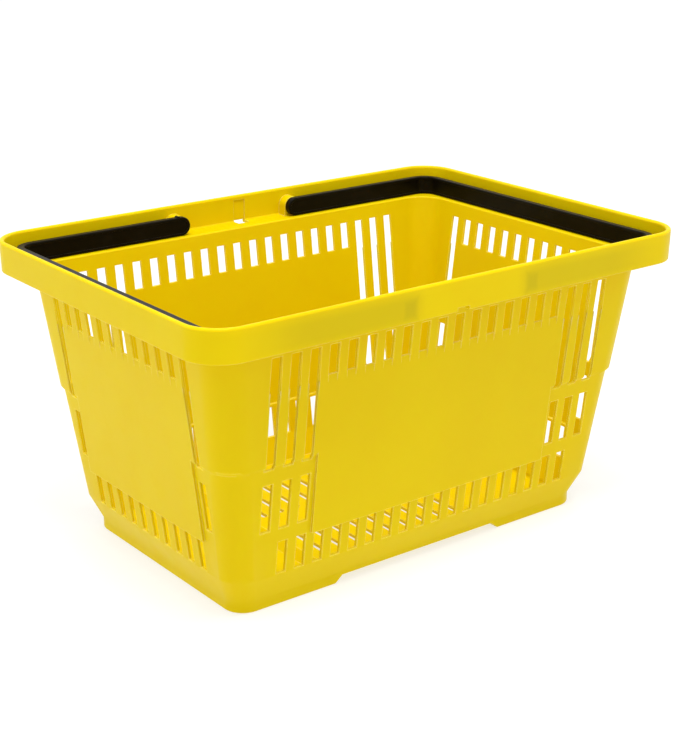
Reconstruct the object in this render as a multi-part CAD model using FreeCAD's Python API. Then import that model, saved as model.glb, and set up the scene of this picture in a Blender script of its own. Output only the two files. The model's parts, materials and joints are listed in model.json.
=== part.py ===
import FreeCAD
import Part
import math
import os

os.makedirs("parts", exist_ok=True)
V = FreeCAD.Vector

# Stackable hand basket with two folding bail handles. Millimetres, +Z up.
# Origin: centre of the footprint, on the surface that the basket stands on.
# X runs along the long side. An inset is measured inwards from the rim's outer outline.

# ---- overall sizes ----
RIM_LENGTH = 430.0          # outside of the rim along X
RIM_WIDTH = 299.5           # outside of the rim along Y
BODY_HEIGHT = 204.6         # feet to the underside of the rim band
BAND_HEIGHT = 23.8          # rim band, also the pitch at which baskets nest
RIM_CORNER = 29.0           # outer corner radius of the rim

# ---- tub walls: outer face, as insets at each height ----
WALL = 2.4                  # wall thickness, measured level
TOP_INSET = 19.8            # wall right under the rim band
TOP_CORNER = 24.0
STEP_FOOT = 113.6           # height of the step round the body
STEP_HEIGHT = 3.0
STEP_INSET = 30.4           # wall just above the step
STEP_DEPTH = 2.0
STEP_CORNER = 21.0
CHAMFER_TOP = 27.9          # height where the wall turns in towards the feet
CHAMFER_INSET = 43.3
CHAMFER_CORNER = 18.0
FOOT_HEIGHT = 8.9           # upright part of the feet
FOOT_INSET = 51.4
FOOT_CORNER = 16.0
FOOT_EDGE = 1.6             # rounding under the feet

# ---- floor ----
FLOOR = 2.5
ARCH_HALF = 76.0            # half length of the raised middle, at half its rise
ARCH_RISE = 5.9
ARCH_RUN = 7.0              # length of each sloping end of the arch
FLOOR_EDGE = 3.0            # rounding between floor and wall, inside

# ---- rim band and ledge ----
LEDGE = 2.0
BAND_DRAFT = 0.6            # the band's foot stands in from its lip by this much
BAND_FOOT_EDGE = 0.8
LIP = 4.0                   # the lip is a full round of this width
BAND_WALL = 3.6             # inset of the band's inner face at the ledge
BAND_FILLET = 1.5
LEDGE_EDGE = 1.4            # rounding from the ledge into the tub

# ---- slots ----
SLOT_PITCH = 15.6
SLOT_WIDTH = 7.5
SLOT_EDGE = 0.5             # small bevel round the outer mouth of each slot
SLOT_MARGIN = 2.0           # least distance from a slot to the start of a corner
TALL_LONG_SIDE = 3          # tall slots at each end of a long side
TALL_SHORT_SIDE = 1         # and of a short side
TOP_SLOT_DROP = 10.0        # from the band's underside down to the top row and the tall slots
TOP_SLOT_HEIGHT = 21.5
GROOVE_DEPTH = 4.5          # upright groove floor, below the wall's top inset
TALL_STEP_GAP = 1.0         # the upper tall slots end this far below the step's foot
TALL_RIB = 11.5             # rib between the upper and the lower tall slots
BOTTOM_SLOT_LOW = 29.1      # height of the bottom row's lower ends
BOTTOM_SLOT_HEIGHT = 25.0
BOTTOM_RIB = 11.0           # rib between the bottom row and the tall slots

# ---- drain slots in the floor ----
DRAIN_WIDTH = 5.0
DRAIN_LENGTH = 56.0
DRAIN_GAP = 24.0            # clear floor between the two rows
DRAIN_MARGIN = 9.0          # clear floor between a slot and a slope or wall

# ---- notch in the foot of the band, one on each long side ----
NOTCH_WIDTH = 10.5
NOTCH_HEIGHT = 3.0
NOTCH_OFFSET = 8.0
NOTCH_INSET = 11.0
KEY_DEPTH = 0.5             # shallow keyway above the notch, on the band's inner face

# ---- handles ----
HANDLE_HEIGHT = 15.0        # height of the strap, and diameter of its round ends
HANDLE_WALL = 5.6           # thickness of the strap
HANDLE_INSET = 12.6         # outer face of the strap
HANDLE_REST_GAP = 0.3       # under the folded handle
HANDLE_EDGE = 1.0
HANDLE_BEAD = 2.2           # width of the bead round the recessed face
FACE_RECESS = 0.7
BACK_RECESS = 1.9
RIB_WIDTH = 1.6
RIB_PITCH = 19.0
PIVOT_X = 55.5              # pivot axes, from mid length
NUB_LENGTH = 3.0
NUB_HEIGHT = 1.0

# ---- pivots ----
STUD_DIAMETER = 10.8
STUD_CLEARANCE = 0.08       # radial, stud in socket
STUD_END_GAP = 0.4
SOCKET_WALL = 2.0
SOCKET_GAP = 0.3            # between the socket's face and the strap
SOCKET_SKIN = 3.0           # inset of the blind socket's floor

# ---- heights that follow ----
RIM_TOP = BODY_HEIGHT + BAND_HEIGHT
LEDGE_TOP = BODY_HEIGHT + LEDGE
STEP_TOP = STEP_FOOT + STEP_HEIGHT
HANDLE_BOTTOM = LEDGE_TOP + HANDLE_REST_GAP
HANDLE_TOP = HANDLE_BOTTOM + HANDLE_HEIGHT
PIVOT_Z = HANDLE_BOTTOM + HANDLE_HEIGHT / 2
UPPER_SLOPE = (STEP_INSET - TOP_INSET) / (BODY_HEIGHT - STEP_TOP)
LOWER_TOP_INSET = STEP_INSET + STEP_DEPTH
LOWER_SLOPE = (CHAMFER_INSET - LOWER_TOP_INSET) / (STEP_FOOT - CHAMFER_TOP)
TOP_SLOT_TOP = BODY_HEIGHT - TOP_SLOT_DROP
TALL_UPPER_LOW = STEP_FOOT - TALL_STEP_GAP
TALL_LOWER_TOP = TALL_UPPER_LOW - TALL_RIB
BOTTOM_SLOT_TOP = BOTTOM_SLOT_LOW + BOTTOM_SLOT_HEIGHT
TALL_LOWER_LOW = BOTTOM_SLOT_TOP + BOTTOM_RIB
PANEL_LOW = BOTTOM_SLOT_TOP         # the plain raised panel ends level with the bottom row's tops

# Outer face of the tub, from the ground up: height, inset, corner radius.
LEVELS = [
    (0.0, FOOT_INSET, FOOT_CORNER),
    (FOOT_HEIGHT, FOOT_INSET, FOOT_CORNER),
    (CHAMFER_TOP, CHAMFER_INSET, CHAMFER_CORNER),
    (STEP_FOOT, LOWER_TOP_INSET, STEP_CORNER),
    (STEP_TOP, STEP_INSET, STEP_CORNER),
    (BODY_HEIGHT, TOP_INSET, TOP_CORNER),
]


def box(x0, x1, y0, y1, z0, z1):
    return Part.makeBox(x1 - x0, y1 - y0, z1 - z0, V(x0, y0, z0))


def prism(points, along):
    wire = Part.makePolygon(points + points[:1])
    return Part.Face(wire).extrude(along)


def rounded_outline(inset, radius, z):
    """Closed wire: the rim's rectangle moved in by inset, with round corners."""
    a = RIM_LENGTH / 2 - inset - radius
    b = RIM_WIDTH / 2 - inset - radius
    arcs = []
    for quarter, (cx, cy) in enumerate(((a, b), (-a, b), (-a, -b), (a, -b))):
        arcs.append(Part.makeCircle(radius, V(cx, cy, z), V(0, 0, 1), 90 * quarter, 90 * quarter + 90))
    edges = []
    for index, arc in enumerate(arcs):
        following = arcs[(index + 1) % 4]
        edges.append(arc)
        start = arc.valueAt(arc.LastParameter)
        edges.append(Part.makeLine(start, following.valueAt(following.FirstParameter)))
    return Part.Wire(edges)


def stack(levels):
    """Solid through rounded outlines at rising heights, each span ruled."""
    spans = []
    for low, high in zip(levels, levels[1:]):
        wires = [rounded_outline(inset, radius, z) for z, inset, radius in (low, high)]
        spans.append(Part.makeLoft(wires, True, True))
    return spans[0].multiFuse(spans[1:])


def slab(inset, radius, z0, z1):
    return Part.Face(rounded_outline(inset, radius, z0)).extrude(V(0, 0, z1 - z0))


def wall_inset(z, panel=False):
    """Inset of the wall's outer face at height z, on the flat part of a side."""
    drop = BODY_HEIGHT - z
    if z >= STEP_TOP or panel:
        return TOP_INSET + UPPER_SLOPE * drop
    if z >= STEP_FOOT:
        return STEP_INSET + STEP_DEPTH * (STEP_TOP - z) / STEP_HEIGHT
    return LOWER_TOP_INSET + LOWER_SLOPE * (STEP_FOOT - z)


def side_length(short_side):
    """Size of the rim along the side, and across it."""
    return (RIM_WIDTH, RIM_LENGTH) if short_side else (RIM_LENGTH, RIM_WIDTH)


def turn_side(shape, short_side, quarter_turns):
    """A feature drawn on the +Y side, turned to the side that it belongs to."""
    angle = (90 if short_side else 0) + 180 * quarter_turns
    shape.rotate(V(0, 0, 0), V(0, 0, 1), angle)
    return shape


def on_both(shape, short_side):
    return [turn_side(shape.copy(), short_side, half) for half in (0, 1)]


def flat_half(z, short_side):
    """Half length of a side's flat stretch at height z, between the round corners."""
    for (z0, i0, r0), (z1, i1, r1) in zip(LEVELS, LEVELS[1:]):
        if z0 <= z <= z1:
            share = (z - z0) / (z1 - z0)
            inset = i0 + share * (i1 - i0)
            radius = r0 + share * (r1 - r0)
    return side_length(short_side)[0] / 2 - inset - radius


def half_columns(z, short_side):
    """Number of slot columns from mid length to the last that fits on the flat at height z."""
    room = flat_half(z, short_side) - SLOT_MARGIN - SLOT_WIDTH / 2
    return int(room / SLOT_PITCH + 0.5)


def panel_half(short_side):
    tall = TALL_SHORT_SIDE if short_side else TALL_LONG_SIDE
    return (half_columns(TALL_LOWER_LOW, short_side) - tall) * SLOT_PITCH


def panel_block(short_side, inward, extra_half, z_low):
    """The raised panel: the upper wall carried on down between the tall slots, rooted behind the wall."""
    half = panel_half(short_side) + extra_half
    across = side_length(short_side)[1] / 2
    low = across - wall_inset(z_low, True) - inward
    high = across - wall_inset(STEP_TOP) - inward
    root = across - CHAMFER_INSET - 4 * WALL
    points = [
        V(-half, root, z_low),
        V(-half, low, z_low),
        V(-half, high, STEP_TOP),
        V(-half, root, STEP_TOP),
    ]
    return prism(points, V(2 * half, 0, 0))


def floor_arch(rise, half_low, run, z_low):
    """Bar across the tub with sloping ends, under the raised middle of the floor."""
    points = [
        V(-half_low, -RIM_WIDTH, z_low),
        V(half_low, -RIM_WIDTH, z_low),
        V(half_low - run, -RIM_WIDTH, z_low + rise),
        V(-half_low + run, -RIM_WIDTH, z_low + rise),
    ]
    return prism(points, V(0, 2 * RIM_WIDTH, 0))


def tub_outside():
    outside = stack(LEVELS)
    under = [e for e in outside.Edges if e.BoundBox.ZMax < FOOT_EDGE / 2]
    outside = outside.makeFillet(FOOT_EDGE, under)
    for short_side in (False, True):
        for panel in on_both(panel_block(short_side, 0, 0, PANEL_LOW), short_side):
            outside = outside.fuse(panel)
    half_low = ARCH_HALF + ARCH_RUN / 2
    slope = ARCH_RUN / ARCH_RISE
    below = FOOT_HEIGHT
    arch = floor_arch(ARCH_RISE + below, half_low + below * slope, (ARCH_RISE + below) * slope, -below)
    return outside.cut(arch)


def tub_cavity():
    levels = [(FLOOR, FOOT_INSET + WALL, FOOT_CORNER - WALL)]
    for z, inset, radius in LEVELS[1:]:
        levels.append((z, inset + WALL, radius - WALL))
    cavity = stack(levels)
    bottom = [e for e in cavity.Edges if e.BoundBox.ZMax < FLOOR + FLOOR_EDGE / 2]
    cavity = cavity.makeFillet(FLOOR_EDGE, bottom)
    # The wall keeps its thickness behind the raised panels.
    for short_side in (False, True):
        for panel in on_both(panel_block(short_side, WALL, -WALL, PANEL_LOW + WALL), short_side):
            cavity = cavity.fuse(panel)
    half_low = ARCH_HALF + ARCH_RUN / 2 + FLOOR
    return cavity.cut(floor_arch(ARCH_RISE, half_low, ARCH_RUN, FLOOR))


def band_profile():
    """Section of the rim band: inset to the left, height up, at y = 0 in the XZ plane."""
    foot = BODY_HEIGHT
    r = BAND_FOOT_EDGE
    lip_z = RIM_TOP - LIP / 2
    k = math.sqrt(0.5)
    fillet_x = BAND_WALL + BAND_FILLET
    fillet_z = LEDGE_TOP + BAND_FILLET

    def at(inset, z):
        return V(-inset, 0, z)

    corners = [
        Part.makeLine(at(fillet_x, foot), at(BAND_DRAFT + r, foot)),
        Part.Arc(at(BAND_DRAFT + r, foot), at(BAND_DRAFT + r - r * k, foot + r - r * k),
                 at(BAND_DRAFT, foot + r)).toShape(),
        Part.makeLine(at(BAND_DRAFT, foot + r), at(0, lip_z)),
        Part.Arc(at(0, lip_z), at(LIP / 2, RIM_TOP), at(LIP, lip_z)).toShape(),
        Part.makeLine(at(LIP, lip_z), at(BAND_WALL, fillet_z)),
        Part.Arc(at(BAND_WALL, fillet_z), at(fillet_x - BAND_FILLET * k, fillet_z - BAND_FILLET * k),
                 at(fillet_x, LEDGE_TOP)).toShape(),
        Part.makeLine(at(fillet_x, LEDGE_TOP), at(fillet_x, foot)),
    ]
    return Part.Face(Part.Wire(corners))


def rim_band():
    """The band's section run round the rim: four straights and four corners."""
    section = band_profile()
    a = RIM_LENGTH / 2
    b = RIM_WIDTH / 2
    straight_x = 2 * (a - RIM_CORNER)
    straight_y = 2 * (b - RIM_CORNER)
    sides = ((0, a, straight_y), (90, b, straight_x), (180, a, straight_y), (270, b, straight_x))
    pieces = []
    for turn, reach, length in sides:
        bar = section.copy()
        bar.translate(V(reach, -length / 2, 0))
        bar = bar.extrude(V(0, length, 0))
        bar.rotate(V(0, 0, 0), V(0, 0, 1), turn)
        pieces.append(bar)
    for turn, cx, cy in ((0, 1, 1), (90, -1, 1), (180, -1, -1), (270, 1, -1)):
        corner = section.copy()
        corner.translate(V(RIM_CORNER, 0, 0))
        corner = corner.revolve(V(0, 0, 0), V(0, 0, 1), 90)
        corner.rotate(V(0, 0, 0), V(0, 0, 1), turn)
        corner.translate(V(cx * (a - RIM_CORNER), cy * (b - RIM_CORNER), 0))
        pieces.append(corner)
    return pieces[0].multiFuse(pieces[1:])


def ledge_plate():
    """The ledge that carries the handles, with its edge rounded where it opens into the tub."""
    inset = BAND_WALL + BAND_FILLET / 2
    plate = slab(inset, RIM_CORNER - inset, BODY_HEIGHT, LEDGE_TOP)
    plate = plate.cut(slab(TOP_INSET + WALL, TOP_CORNER - WALL, BODY_HEIGHT - LEDGE, LEDGE_TOP + LEDGE))
    reach = RIM_LENGTH - 2 * TOP_INSET
    mouth = []
    for edge in plate.Edges:
        if edge.BoundBox.ZMin > LEDGE_TOP - LEDGE / 4 and abs(edge.BoundBox.Center.x) < reach / 2:
            if abs(edge.BoundBox.Center.y) < RIM_WIDTH / 2 - TOP_INSET:
                mouth.append(edge)
    return plate.makeFillet(LEDGE_EDGE, mouth)


def slot_cutters(short_side):
    """Every slot on one side, as cutters on the +Y face: a straight hole and its bevelled mouth."""
    across = side_length(short_side)[1] / 2
    tall = TALL_SHORT_SIDE if short_side else TALL_LONG_SIDE
    columns = half_columns(TALL_LOWER_LOW, short_side)
    bottom_columns = half_columns(BOTTOM_SLOT_LOW, short_side)
    spans = []
    for step in range(columns):
        x = (step + 0.5) * SLOT_PITCH
        if step >= columns - tall:
            spans.append((x, TALL_UPPER_LOW, TOP_SLOT_TOP, False))
            spans.append((x, TALL_LOWER_LOW, TALL_LOWER_TOP, False))
        else:
            spans.append((x, TOP_SLOT_TOP - TOP_SLOT_HEIGHT, TOP_SLOT_TOP, True))
        if step < bottom_columns:
            spans.append((x, BOTTOM_SLOT_LOW, BOTTOM_SLOT_TOP, False))
    cutters = []
    for x, low, high, groove in spans:
        y_out = across - wall_inset(high) + WALL
        y_in = across - wall_inset(low) - 2 * WALL
        half = SLOT_WIDTH / 2
        for cx in (x, -x):
            cutters.append(box(cx - half, cx + half, y_in, y_out, low, high))
            cutters.append(slot_mouth(cx, low, high, across))
            if groove:
                floor_y = across - TOP_INSET - GROOVE_DEPTH
                cutters.append(box(cx - half, cx + half, floor_y, y_out, low - 4 * GROOVE_DEPTH, high))
    return cutters


def slot_mouth(x, low, high, across):
    """Frustum that bevels a slot's outer edges, lying on the sloping wall."""
    wires = []
    for outward, grow in ((-SLOT_EDGE, 0), (SLOT_EDGE, 2 * SLOT_EDGE)):
        half = SLOT_WIDTH / 2 + grow
        z0 = low - grow
        z1 = high + grow
        y0 = across - wall_inset(z0) + outward
        y1 = across - wall_inset(z1) + outward
        corners = [V(x - half, y0, z0), V(x + half, y0, z0), V(x + half, y1, z1), V(x - half, y1, z1)]
        wires.append(Part.makePolygon(corners + corners[:1]))
    return Part.makeLoft(wires, True, True)


def drain_cutters():
    """Two rows of drain slots in the raised middle of the floor."""
    flat = ARCH_HALF - ARCH_RUN / 2 - DRAIN_MARGIN
    count = int(flat / SLOT_PITCH)
    cutters = []
    for step in range(-count, count + 1):
        x = step * SLOT_PITCH
        for side in (1, -1):
            y0 = side * DRAIN_GAP / 2
            y1 = side * (DRAIN_GAP / 2 + DRAIN_LENGTH)
            low, high = min(y0, y1), max(y0, y1)
            r = DRAIN_WIDTH / 2
            bar = box(x - r, x + r, low + r, high - r, 0, ARCH_RISE + 2 * FLOOR)
            for y in (low + r, high - r):
                bar = bar.fuse(Part.makeCylinder(r, ARCH_RISE + 2 * FLOOR, V(x, y, 0)))
            cutters.append(bar)
    return cutters


def notch_cutters():
    across = RIM_WIDTH / 2
    half = NOTCH_WIDTH / 2
    top = BODY_HEIGHT + NOTCH_HEIGHT
    x0 = NOTCH_OFFSET - half
    x1 = NOTCH_OFFSET + half
    notch = box(x0, x1, across - NOTCH_INSET, across + LIP, BODY_HEIGHT - LEDGE, top)
    key = box(x0, x1, across - LIP - KEY_DEPTH, across - BAND_WALL + KEY_DEPTH, top - LEDGE, RIM_TOP - LIP)
    return on_both(notch, False) + on_both(key, False)


def socket(x):
    """Pivot socket on the +Y side: a pad from the band to the strap, standing on the ledge."""
    across = RIM_WIDTH / 2
    radius = STUD_DIAMETER / 2 + STUD_CLEARANCE + SOCKET_WALL
    face = HANDLE_INSET - SOCKET_GAP
    depth = face - BAND_WALL / 2
    along = V(0, 1, 0)
    pad = Part.makeCylinder(radius, depth, V(x, across - face, PIVOT_Z), along)
    foot_low = BODY_HEIGHT + LEDGE / 2
    foot = box(x - radius, x + radius, across - face, across - face + depth, foot_low, PIVOT_Z)
    bore = Part.makeCylinder(STUD_DIAMETER / 2 + STUD_CLEARANCE, face - SOCKET_SKIN + SOCKET_GAP,
                             V(x, across - face - SOCKET_GAP, PIVOT_Z), along)
    return pad.fuse(foot), bore


def basket_tub():
    tub = tub_outside().multiFuse([ledge_plate(), rim_band()])
    pads = []
    bores = []
    for x in (PIVOT_X, -PIVOT_X):
        pad, bore = socket(x)
        pads += on_both(pad, False)
        bores += on_both(bore, False)
    tub = tub.multiFuse(pads)
    tub = tub.cut(tub_cavity())
    cutters = bores + notch_cutters() + drain_cutters()
    for short_side in (False, True):
        for cutter in slot_cutters(short_side):
            cutters += on_both(cutter, short_side)
    tub = tub.cut(cutters)
    return tub.removeSplitter()


def strap(inset, wall, z0, z1, reach):
    """U-shaped strap round the -X end: its outer face at inset, its arms ending at x = reach."""
    outer = slab(inset, RIM_CORNER - inset, z0, z1)
    inner = slab(inset + wall, RIM_CORNER - inset - wall, z0 - HANDLE_EDGE, z1 + HANDLE_EDGE)
    side = RIM_LENGTH
    keep = box(-side, reach, -side, side, z0, z1)
    return outer.cut(inner).common(keep)


def capsule(reach_back, radius, x_end, z):
    """Side view of a strap with round ends, as a bar right across the basket."""
    bar = box(-reach_back, x_end, -RIM_WIDTH, RIM_WIDTH, z - radius, z + radius)
    cylinder = Part.makeCylinder(radius, 2 * RIM_WIDTH, V(x_end, -RIM_WIDTH, z), V(0, 1, 0))
    return bar.fuse(cylinder)


def handle():
    """Handle folded round the -X end, its studs in the sockets at x = -PIVOT_X."""
    r = HANDLE_HEIGHT / 2
    body = strap(HANDLE_INSET, HANDLE_WALL, HANDLE_BOTTOM, HANDLE_TOP, -PIVOT_X + r)
    body = body.common(capsule(RIM_LENGTH, r, -PIVOT_X, PIVOT_Z))
    long_edges = [e for e in body.Edges if e.BoundBox.ZLength < HANDLE_EDGE / 10]
    body = body.makeFillet(HANDLE_EDGE, long_edges)
    across = RIM_WIDTH / 2
    stud_length = HANDLE_INSET - SOCKET_SKIN - STUD_END_GAP
    for side in (1, -1):
        start = side * (across - HANDLE_INSET - HANDLE_WALL / 2)
        stud = Part.makeCylinder(STUD_DIAMETER / 2, stud_length + HANDLE_WALL / 2,
                                 V(-PIVOT_X, start, PIVOT_Z), V(0, side, 0))
        tip = [e for e in stud.Edges if abs(e.BoundBox.Center.y) > abs(start) + stud_length]
        body = body.fuse(stud.makeChamfer(HANDLE_EDGE / 2, tip))
    body = body.cut(face_recess())
    body = body.cut(back_recess())
    return body.fuse(stop_nub()).removeSplitter()


def face_recess():
    """Shallow recess inside a bead, on the face that looks into the tub."""
    z0 = HANDLE_BOTTOM + HANDLE_BEAD
    z1 = HANDLE_TOP - HANDLE_BEAD
    r = (z1 - z0) / 2
    inset = HANDLE_INSET + HANDLE_WALL - FACE_RECESS
    cut = strap(inset, 2 * FACE_RECESS, z0, z1, -PIVOT_X + r)
    return cut.common(capsule(RIM_LENGTH, r, -PIVOT_X, PIVOT_Z))


def back_recess():
    """Deeper channel with cross ribs, on the back of the two arms."""
    z0 = HANDLE_BOTTOM + HANDLE_BEAD
    z1 = HANDLE_TOP - HANDLE_BEAD
    start = -PIVOT_X - HANDLE_HEIGHT / 2 - HANDLE_BEAD
    end = -RIM_LENGTH / 2 + RIM_CORNER + HANDLE_BEAD
    bays = max(1, int((start - end) / RIB_PITCH))
    bay = (start - end) / bays
    across = RIM_WIDTH / 2
    outer = across - HANDLE_INSET
    cuts = []
    for index in range(bays):
        x0 = end + index * bay + RIB_WIDTH / 2
        x1 = end + (index + 1) * bay - RIB_WIDTH / 2
        for side in (1, -1):
            y0 = side * (outer - BACK_RECESS)
            y1 = side * (outer + BACK_RECESS)
            cuts.append(box(x0, x1, min(y0, y1), max(y0, y1), z0, z1))
    return cuts


def stop_nub():
    """Small lug on the upper edge of one arm, next to its pivot."""
    inner = RIM_WIDTH / 2 - HANDLE_INSET - HANDLE_WALL
    start = V(-PIVOT_X - NUB_LENGTH, inner + HANDLE_EDGE, HANDLE_TOP - NUB_LENGTH / 2 + NUB_HEIGHT)
    return Part.makeCylinder(NUB_LENGTH / 2, HANDLE_WALL - 2 * HANDLE_EDGE, start, V(0, 1, 0))


tub = basket_tub()
left = handle()
right = left.copy()
right.rotate(V(0, 0, 0), V(0, 0, 1), 180)

for name, shape in (("basket_tub", tub), ("handle_left", left), ("handle_right", right)):
    solids = shape.Solids
    print(name, "solids", len(solids), "valid", shape.isValid(), "volume", round(shape.Volume))
    shape.exportStep("parts/" + name + ".step")
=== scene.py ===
"""Stackable hand basket: moulded tub and two folding handles, finished and lit on a pale floor."""

import json
import math

import bmesh
import bpy
from bpy.props import FloatProperty, FloatVectorProperty, PointerProperty
from mathutils import Matrix, Vector


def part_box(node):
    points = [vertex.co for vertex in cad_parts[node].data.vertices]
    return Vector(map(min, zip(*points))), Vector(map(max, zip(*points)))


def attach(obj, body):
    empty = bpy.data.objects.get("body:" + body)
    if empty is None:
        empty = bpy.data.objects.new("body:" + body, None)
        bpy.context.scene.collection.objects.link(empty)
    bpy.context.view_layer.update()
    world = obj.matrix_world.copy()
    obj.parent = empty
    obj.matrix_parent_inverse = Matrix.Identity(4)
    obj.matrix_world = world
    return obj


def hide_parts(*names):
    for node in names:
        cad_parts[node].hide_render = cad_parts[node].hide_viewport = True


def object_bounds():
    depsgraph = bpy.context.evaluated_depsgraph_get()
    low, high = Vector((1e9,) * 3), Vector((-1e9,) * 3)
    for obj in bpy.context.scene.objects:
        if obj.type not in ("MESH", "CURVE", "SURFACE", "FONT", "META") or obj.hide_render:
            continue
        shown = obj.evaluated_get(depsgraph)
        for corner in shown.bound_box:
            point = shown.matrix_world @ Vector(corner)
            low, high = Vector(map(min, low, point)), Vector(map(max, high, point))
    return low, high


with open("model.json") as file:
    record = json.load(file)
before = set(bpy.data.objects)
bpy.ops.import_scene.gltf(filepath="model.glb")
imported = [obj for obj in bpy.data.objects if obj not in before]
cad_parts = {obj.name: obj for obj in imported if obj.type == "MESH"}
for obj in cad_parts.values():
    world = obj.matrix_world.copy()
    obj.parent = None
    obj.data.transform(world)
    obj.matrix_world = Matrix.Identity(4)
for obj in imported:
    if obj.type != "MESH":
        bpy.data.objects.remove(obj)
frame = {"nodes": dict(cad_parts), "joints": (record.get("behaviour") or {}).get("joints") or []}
CAD_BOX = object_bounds()

bl_info = {
    "name": "Hand Basket",
    "version": (1, 0, 0),
    "blender": (4, 5, 0),
    "location": "3D View > Sidebar > Basket",
    "description": "Finishes the tub and the folding handles of a nesting hand basket",
    "category": "Object",
}


# ---- places read from the frame ----

TUB_LOW, TUB_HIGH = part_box("basket_tub")
HANDLE_LOW, HANDLE_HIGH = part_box("handle_right")
PIVOTS = {joint["child"]: Vector(joint["pos_m"]) for joint in frame["joints"]}
PIVOT_X = abs(PIVOTS["left_handle"].x)
PIVOT_Z = PIVOTS["left_handle"].z


# ---- the plastics ----

PLASTIC_IOR = 1.32
GRAIN_HEIGHT = 0.00003      # metres, of the fine texture left by the mould
YELLOW_REACH = (1.0, 0.62, 0.04)    # how far red, green and blue light go in the yellow, as shares
BAND_FACE = 0.0018          # the band's outer face lies within this of the tub's side
BAND_BACK = 0.0030          # and whatever lies further in than this is behind it


# ---- the stage ----

WHITE = (1.0, 1.0, 1.0, 1.0)
WARM = (1.0, 0.99, 0.97)
COOL = (0.98, 0.99, 1.0)
SENSOR_WIDTH = 36.0         # millimetres

# Each light: its name, place, size and tint. The stage's setting of the same name is its power.
LIGHTS = (
    ("side_left", (-1.3, 0.9, 0.7), (0.9, 1.1), COOL),
    ("side_right", (1.3, -1.2, 0.7), (1.1, 1.1), WARM),
    ("top", (-0.25, -0.5, 2.1), (1.1, 0.5), WARM),
)


# ---- settings ----

def length(name, description, default, low=0.0, high=1.0):
    return FloatProperty(name=name, description=description, default=default, min=low, max=high,
                         unit="LENGTH", precision=4)


def share(name, description, default):
    return FloatProperty(name=name, description=description, default=default, min=0.0, max=1.0,
                         subtype="FACTOR")


def strength(name, description, default):
    return FloatProperty(name=name, description=description, default=default, min=0.0, max=100.0)


def power(name, description, default):
    return FloatProperty(name=name, description=description, default=default, min=0.0, unit="POWER")


def angle(name, description, degrees):
    return FloatProperty(name=name, description=description, default=math.radians(degrees),
                         subtype="ANGLE")


def colour(name, description, default):
    return FloatVectorProperty(name=name, description=description, default=default, min=0.0, max=1.0,
                               size=3, subtype="COLOR")


class TubSettings(bpy.types.PropertyGroup):
    yellow: colour("Yellow", "Main colour of the tub's plastic", (0.690, 0.525, 0.0))
    deep: colour("Deep Yellow", "Colour where the plastic has flowed thicker", (0.675, 0.495, 0.0))
    # The edge colour is partly wear and partly a painted highlight along the eased edges.
    marks_and_highlight: colour("Worn Edge", "Colour of edges paled by nesting", (0.96, 0.82, 0.22))
    gloss: share("Roughness", "Roughness of the moulded face", 0.36)
    shine: share("Shine", "Strength of reflections from the plastic", 0.14)
    glow: share("Translucency", "How much light passes into the plastic", 0.35)
    glow_depth: length("Light Depth", "How far light travels inside the plastic", 0.004, 0.0001, 0.05)
    grain: length("Grain Size", "Size of the fine texture left by the mould", 0.0011, 0.0001, 0.01)
    edge: length("Edge Radius", "Radius that every moulded edge is eased to", 0.0007, 0.0, 0.005)
    # Painted shadow colour over the handles' studs and arms behind the band.
    shadow: colour("Handle Shadow", "Colour where a stud shows through the band", (0.52, 0.400, 0.004))
    shadow_size: length("Shadow Size", "Half width of the patch over each stud", 0.0085, 0.001, 0.05)


class HandleSettings(bpy.types.PropertyGroup):
    black: colour("Black", "Main colour of the handles' plastic", (0.0036, 0.0024, 0.0007))
    # The dusty colour also paints a highlight along the handles' rubbed edges.
    dust_and_highlight: colour("Dusty Black", "Colour of rubbed and dusty places", (0.018, 0.013, 0.007))
    gloss: share("Roughness", "Roughness of the moulded face", 0.34)
    shine: share("Shine", "Strength of reflections from the plastic", 0.17)
    grain: length("Grain Size", "Size of the fine texture left by the mould", 0.0008, 0.0001, 0.01)
    edge: length("Edge Radius", "Radius that every moulded edge is eased to", 0.0005, 0.0, 0.005)


class StageSettings(bpy.types.PropertyGroup):
    floor: colour("Floor", "Colour of the floor", (0.36, 0.36, 0.36))
    floor_glow: share("Floor Glow", "Even light given by the floor, as a lit table gives", 0.65)
    floor_size: length("Floor Size", "Length of each side of the floor", 40.0, 1.0, 50.0)
    turn: angle("Turn", "Camera's turn round the basket, from straight in front", -37.4)
    tilt: angle("Tilt", "Camera's height above level, seen from the basket", 19.5)
    distance: length("Distance", "From the camera to the basket's centre", 1.22, 0.2, 20.0)
    lens: FloatProperty(name="Lens", description="Focal length of the camera", default=75.9,
                        unit="CAMERA", min=10.0, max=300.0)
    sky: strength("Sky Light", "Strength of the even light from all round", 0.90)
    side_left: power("Left Light", "Power of the large light that gives the short side its sheen", 3.0)
    side_right: power("Right Light", "Power of the weaker light on the long side", 0.6)
    top: power("Top Light", "Power of the light above, for the inside and the lip", 36.0)


# ---- node helpers ----

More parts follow.
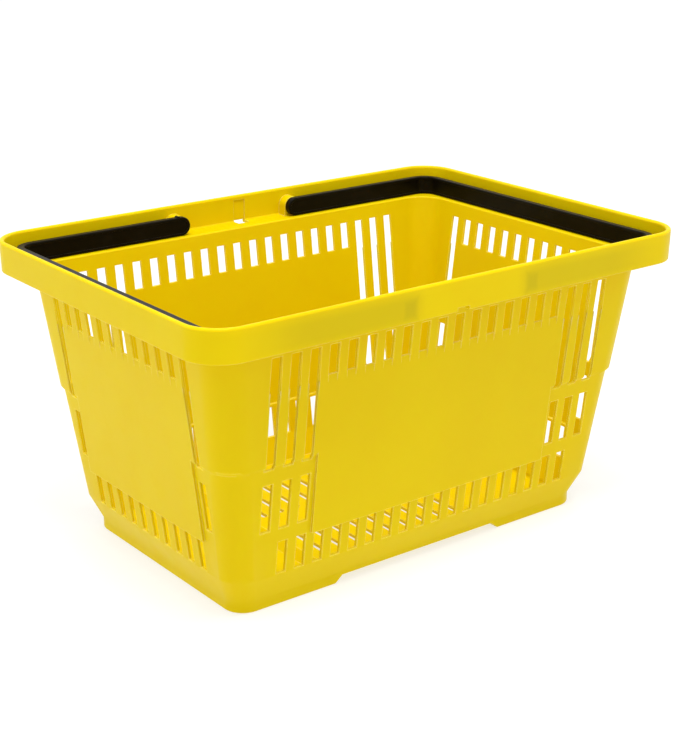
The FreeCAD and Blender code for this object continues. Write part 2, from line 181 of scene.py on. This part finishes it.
class Finish:
    """One material, its node tree, and short calls that add and join its nodes."""

    columns = 8
    column_step = 220
    row_step = 260

    def __init__(self, name):
        self.material = bpy.data.materials.new(name)
        self.material.use_nodes = True
        self.tree = self.material.node_tree
        self.tree.nodes.clear()
        self.place = self.add("ShaderNodeTexCoord").outputs["Object"]
        self.shader = self.add("ShaderNodeBsdfPrincipled")
        output = self.add("ShaderNodeOutputMaterial")
        self.join(self.shader.outputs["BSDF"], output.inputs["Surface"])

    def add(self, kind, **settings):
        node = self.tree.nodes.new(kind)
        for key, value in settings.items():
            setattr(node, key, value)
        row, column = divmod(len(self.tree.nodes), self.columns)
        node.location = (self.column_step * column, -self.row_step * row)
        return node

    def join(self, source, target):
        """Joins an output, or sets a plain number or colour."""
        if isinstance(source, bpy.types.NodeSocket):
            self.tree.links.new(source, target)
        else:
            target.default_value = source

    def surface(self, **sources):
        """Joins or sets the shader's own sockets, named here in lower case with underscores."""
        sockets = {socket.name.lower().replace(" ", "_"): socket for socket in self.shader.inputs}
        for key, source in sources.items():
            self.join(source, sockets[key])

    def noise(self, size, detail, roughness, place=None):
        """Soft noise whose blotches are about size metres across."""
        node = self.add("ShaderNodeTexNoise")
        self.join(place or self.place, node.inputs["Vector"])
        node.inputs["Scale"].default_value = 1.0 / size
        node.inputs["Detail"].default_value = detail
        node.inputs["Roughness"].default_value = roughness
        return node.outputs["Fac"]

    def stretched(self, along, upright):
        """Place on the piece, scaled so that marks are drawn out where the scale is small."""
        node = self.add("ShaderNodeMapping")
        self.join(self.place, node.inputs["Vector"])
        node.inputs["Scale"].default_value = (along, along, upright)
        return node.outputs["Vector"]

    def work_out(self, operation, *values, clamp=False):
        node = self.add("ShaderNodeMath", operation=operation, use_clamp=clamp)
        for value, socket in zip(values, node.inputs):
            self.join(value, socket)
        return node.outputs["Value"]

    def product(self, first, *others):
        for other in others:
            first = self.work_out("MULTIPLY", first, other)
        return first

    def add_share(self, value, weight, base):
        """The value times its weight, added to a base."""
        return self.work_out("MULTIPLY_ADD", value, weight, base)

    def apart(self, value, middle):
        """How far a value is from the middle, either way."""
        return self.work_out("ABSOLUTE", self.work_out("SUBTRACT", value, middle))

    def ramp(self, value, low, high, to_low=0.0, to_high=1.0):
        """Smooth step: to_low below low, to_high above high."""
        node = self.add("ShaderNodeMapRange", interpolation_type="SMOOTHSTEP")
        for source, key in ((value, "Value"), (low, "From Min"), (high, "From Max"),
                            (to_low, "To Min"), (to_high, "To Max")):
            self.join(source, node.inputs[key])
        return node.outputs["Result"]

    def mix(self, amount, first, second):
        """Colour between two, each a colour or another node's output."""
        factor, first_colour, second_colour, result = 0, 6, 7, 2
        node = self.add("ShaderNodeMix", data_type="RGBA")
        self.join(amount, node.inputs[factor])
        self.join(first, node.inputs[first_colour])
        self.join(second, node.inputs[second_colour])
        return node.outputs[result]

    def grained(self, height, normal):
        """The normal with a fine moulded texture laid on it."""
        node = self.add("ShaderNodeBump")
        node.inputs["Strength"].default_value = 1.0
        node.inputs["Distance"].default_value = GRAIN_HEIGHT
        self.join(height, node.inputs["Height"])
        self.join(normal, node.inputs["Normal"])
        return node.outputs["Normal"]

    def eased(self, radius):
        """Normal with every sharp edge eased to a radius, and how far each place is from flat."""
        bevel = self.add("ShaderNodeBevel", samples=4)
        bevel.inputs["Radius"].default_value = radius
        surface = self.add("ShaderNodeNewGeometry")
        dot = self.add("ShaderNodeVectorMath", operation="DOT_PRODUCT")
        self.join(bevel.outputs["Normal"], dot.inputs[0])
        self.join(surface.outputs["Normal"], dot.inputs[1])
        away = self.work_out("SUBTRACT", 1.0, dot.outputs["Value"], clamp=True)
        return bevel.outputs["Normal"], away

    def axes(self):
        node = self.add("ShaderNodeSeparateXYZ")
        self.join(self.place, node.inputs[0])
        return node.outputs


def opaque(rgb):
    return (*rgb, 1.0)


# ---- finishes ----

def handle_shade(f, size):
    """How much painted shade the band's outer face takes on the long sides, over the black studs and
    arms that lie behind it.
    """
    patch_rise = 1.2                        # a stud's painted shadow patch is this much taller than wide
    arm_weight = 0.65                       # an arm stands further behind the band than its stud
    fringe_weight = 0.25                    # what is left of an arm's shade above and below it
    corner_fade = TUB_HIGH.x - 0.085
    corner_clear = TUB_HIGH.x - 0.020
    arm_middle = (HANDLE_LOW.z + HANDLE_HIGH.z) / 2
    x, y, z = f.axes()
    along = f.work_out("ABSOLUTE", x)
    across = f.work_out("DIVIDE", f.apart(along, PIVOT_X), size)
    up = f.work_out("DIVIDE", f.apart(z, PIVOT_Z), size * patch_rise)
    # Painted shadow patch over each stud, and a weaker painted shade along each arm.
    stud = f.ramp(f.work_out("MAXIMUM", across, up), 0.25, 1.3, to_low=1.0, to_high=0.0)
    inner_end = f.ramp(along, HANDLE_LOW.x - size, HANDLE_LOW.x + size)
    corner_end = f.ramp(along, corner_fade, corner_clear, to_low=1.0, to_high=0.0)
    height = f.ramp(f.apart(z, arm_middle), 0.5 * size, 1.6 * size, to_low=1.0, to_high=fringe_weight)
    arm = f.product(inner_end, corner_end, height, arm_weight)
    outside = f.ramp(f.work_out("ABSOLUTE", y), TUB_HIGH.y - BAND_BACK, TUB_HIGH.y - BAND_FACE)
    return f.product(f.work_out("MAXIMUM", stud, arm), outside)


def moulded_yellow(s):
    """Yellow polypropylene: slightly translucent, flow-marked, with a fine grain, edges paled by wear
    and a painted highlight, and painted shade over the handles behind the band.
    """
    cloud_share = 0.25
    rubbed_and_highlit_share = 0.75
    smoothest = s.gloss - 0.03
    cloud_roughness = 0.07
    scuff_roughness = 0.08
    wave_height = 6.0                       # of the wall's slow waves, in heights of the grain
    f = Finish("moulded_yellow")
    normal, away = f.eased(s.edge)

    upright_flow = f.stretched(along=1.0, upright=0.45)
    flow = f.ramp(f.noise(0.085, 2.0, 0.45, upright_flow), low=0.35, high=0.68)
    cloud = f.ramp(f.noise(0.018, 3.0, 0.55), low=0.38, high=0.72)
    tone = f.add_share(cloud, cloud_share, f.product(flow, 1.0 - cloud_share))
    body = f.mix(tone, opaque(s.yellow), opaque(s.deep))
    # Painted shade where the black studs and arms lie behind the band.
    body = f.mix(handle_shade(f, s.shadow_size), body, opaque(s.shadow))

    # Edges paled by wear and by a painted highlight.
    on_edges = f.ramp(away, low=0.003, high=0.06)
    in_patches = f.ramp(f.noise(0.012, 3.0, 0.6), low=0.15, high=0.60)
    rubbed_and_highlit = f.product(on_edges, in_patches, rubbed_and_highlit_share)

    upright_scuffs = f.stretched(along=1.0, upright=0.12)
    scuffs = f.ramp(f.noise(0.006, 4.0, 0.7, upright_scuffs), low=0.60, high=0.78)
    rough = f.add_share(cloud, cloud_roughness, smoothest)
    rough = f.add_share(scuffs, scuff_roughness, rough)

    grain = f.noise(s.grain, 2.0, 0.5)
    height = f.add_share(f.noise(0.03, 1.0, 0.4), wave_height, grain)

    f.surface(base_color=f.mix(rubbed_and_highlit, body, opaque(s.marks_and_highlight)), roughness=rough,
              normal=f.grained(height, normal), ior=PLASTIC_IOR, specular_ior_level=s.shine,
              subsurface_weight=s.glow, subsurface_radius=YELLOW_REACH, subsurface_scale=s.glow_depth)
    return f.material


def moulded_black(s):
    """Near-black handle plastic: satin, finely grained, with dusty places and rubbed edges, the edges
    paled partly as a painted highlight.
    """
    dust_share = 0.25
    rubbed_and_highlit_share = 0.8
    smoothest = s.gloss - 0.04
    dust_roughness = 0.12
    scratch_roughness = 0.10
    f = Finish("moulded_black")
    normal, away = f.eased(s.edge)

    dust = f.ramp(f.noise(0.020, 4.0, 0.6), low=0.45, high=0.80)
    # Rubbed edges paled by wear and by a painted highlight.
    on_edges = f.ramp(away, low=0.006, high=0.10)
    in_patches = f.ramp(f.noise(0.009, 3.0, 0.6), low=0.25, high=0.60)
    rubbed_and_highlit = f.product(on_edges, in_patches, rubbed_and_highlit_share)
    marks_and_highlight = f.work_out("MAXIMUM", f.product(dust, dust_share), rubbed_and_highlit)

    lengthwise = f.stretched(along=0.10, upright=1.0)
    scratches = f.ramp(f.noise(0.004, 3.0, 0.7, lengthwise), low=0.60, high=0.80)
    rough = f.add_share(dust, dust_roughness, smoothest)
    rough = f.add_share(scratches, scratch_roughness, rough)

    f.surface(base_color=f.mix(marks_and_highlight, opaque(s.black), opaque(s.dust_and_highlight)), roughness=rough,
              normal=f.grained(f.noise(s.grain, 2.0, 0.5), normal), ior=PLASTIC_IOR,
              specular_ior_level=s.shine)
    return f.material


def floor_paint(s):
    """Pale matt floor with a faint mottle and an even light of its own."""
    darker = tuple(0.985 * channel for channel in s.floor)
    smoothest = 0.75
    mottle_roughness = 0.05
    f = Finish("pale_floor")
    mottle = f.ramp(f.noise(0.25, 3.0, 0.5), low=0.3, high=0.7)
    f.surface(base_color=f.mix(mottle, opaque(s.floor), opaque(darker)),
              roughness=f.add_share(mottle, mottle_roughness, smoothest),
              emission_color=WHITE, emission_strength=s.floor_glow)
    return f.material


# ---- pieces ----

def joined_copy(name, node):
    """A copy of a moulded part's mesh, its loose triangles merged, smooth between sharp edges."""
    merge_distance = 2e-6
    sharp = math.radians(32)
    work = bmesh.new()
    work.from_mesh(frame["nodes"][node].data)
    bmesh.ops.remove_doubles(work, verts=work.verts, dist=merge_distance)
    for face in work.faces:
        face.smooth = True
    for edge in work.edges:
        edge.smooth = edge.calc_face_angle(0.0) < sharp
    mesh = bpy.data.meshes.new(name)
    work.to_mesh(mesh)
    work.free()
    piece = bpy.data.objects.new(name, mesh)
    bpy.context.scene.collection.objects.link(piece)
    weighted = piece.modifiers.new("Flat Faces Stay Flat", "WEIGHTED_NORMAL")
    weighted.keep_sharp = True
    return piece


def place_piece(piece, node, body, material):
    piece.data.materials.clear()
    piece.data.materials.append(material)
    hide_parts(node)
    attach(piece, body)


class BASKET_OT_make_tub(bpy.types.Operator):
    """Make the moulded tub with its rim band, ledge, slots and pivot sockets"""
    bl_idname = "basket.make_tub"
    bl_label = "Make Tub"

    def execute(self, context):
        material = moulded_yellow(context.scene.basket_tub)
        piece = joined_copy("tub_shell", "basket_tub")
        place_piece(piece, "basket_tub", "tub", material)
        return {"FINISHED"}


class BASKET_OT_make_handles(bpy.types.Operator):
    """Make the two folding handles, each under its own body"""
    bl_idname = "basket.make_handles"
    bl_label = "Make Handles"

    def execute(self, context):
        material = moulded_black(context.scene.basket_handles)
        for side in ("left", "right"):
            piece = joined_copy(side + "_handle_strap", "handle_" + side)
            place_piece(piece, "handle_" + side, side + "_handle", material)
        return {"FINISHED"}


# ---- stage ----

def area_light(name, place, target, size, watts, tint):
    """A rectangular light at a place, turned towards the target."""
    light = bpy.data.lights.new(name, "AREA")
    light.shape = "RECTANGLE"
    light.size, light.size_y = size
    light.energy = watts
    light.color = tint
    lamp = bpy.data.objects.new(name, light)
    bpy.context.scene.collection.objects.link(lamp)
    lamp.location = place
    lamp.rotation_euler = (target - place).to_track_quat("-Z", "Y").to_euler()


class BASKET_OT_set_stage(bpy.types.Operator):
    """Set the floor, the soft lights and the camera"""
    bl_idname = "basket.set_stage"
    bl_label = "Set Stage"

    def execute(self, context):
        settings = context.scene.basket_stage
        centre = (Vector(CAD_BOX[0]) + Vector(CAD_BOX[1])) / 2
        self.floor(context, settings)
        self.lights(context, settings, centre)
        self.camera(context, settings, centre)
        return {"FINISHED"}

    def floor(self, context, s):
        work = bmesh.new()
        bmesh.ops.create_grid(work, x_segments=1, y_segments=1, size=s.floor_size / 2,
                              matrix=Matrix.Translation((0, 0, TUB_LOW.z)))
        mesh = bpy.data.meshes.new("pale_floor")
        work.to_mesh(mesh)
        work.free()
        mesh.materials.append(floor_paint(s))
        floor = bpy.data.objects.new("pale_floor", mesh)
        context.scene.collection.objects.link(floor)

    def lights(self, context, s, centre):
        world = bpy.data.worlds.new("Soft Sky")
        world.use_nodes = True
        background = world.node_tree.nodes["Background"]
        background.inputs["Color"].default_value = WHITE
        background.inputs["Strength"].default_value = s.sky
        context.scene.world = world
        context.scene.view_settings.view_transform = "Standard"
        for name, place, size, tint in LIGHTS:
            area_light(name, Vector(place), centre, size, getattr(s, name), tint)

    def camera(self, context, s, centre):
        lens = bpy.data.cameras.new("camera")
        lens.lens = s.lens
        lens.sensor_width = SENSOR_WIDTH
        lens.sensor_fit = "AUTO"
        camera = bpy.data.objects.new("camera", lens)
        context.scene.collection.objects.link(camera)
        level = math.cos(s.tilt)
        away = Vector((math.sin(s.turn) * level, -math.cos(s.turn) * level, math.sin(s.tilt)))
        camera.location = centre + s.distance * away
        camera.rotation_euler = (-away).to_track_quat("-Z", "Y").to_euler()
        context.scene.camera = camera


class BASKET_PT_sidebar(bpy.types.Panel):
    """Lists each step's settings with the button that makes it"""
    bl_label = "Hand Basket"
    bl_space_type = "VIEW_3D"
    bl_region_type = "UI"
    bl_category = "Basket"

    def draw(self, context):
        for operator, settings in STEPS:
            column = self.layout.box().column()
            group = getattr(context.scene, settings)
            for key in group.bl_rna.properties.keys():
                if key not in {"rna_type", "name"}:
                    column.prop(group, key)
            column.operator(operator.bl_idname)


STEPS = (
    (BASKET_OT_make_tub, "basket_tub"),
    (BASKET_OT_make_handles, "basket_handles"),
    (BASKET_OT_set_stage, "basket_stage"),
)
SETTINGS = {"basket_tub": TubSettings, "basket_handles": HandleSettings, "basket_stage": StageSettings}
CLASSES = (*SETTINGS.values(), *(operator for operator, _ in STEPS), BASKET_PT_sidebar)


def register():
    for one in CLASSES:
        bpy.utils.register_class(one)
    for key, group in SETTINGS.items():
        setattr(bpy.types.Scene, key, PointerProperty(type=group))


def unregister():
    for key in SETTINGS:
        delattr(bpy.types.Scene, key)
    for one in reversed(CLASSES):
        bpy.utils.unregister_class(one)


def main():
    register()
    bpy.ops.basket.make_tub()
    bpy.ops.basket.make_handles()
    bpy.ops.basket.set_stage()
    bpy.context.view_layer.update()


if __name__ == "__main__":
    main()
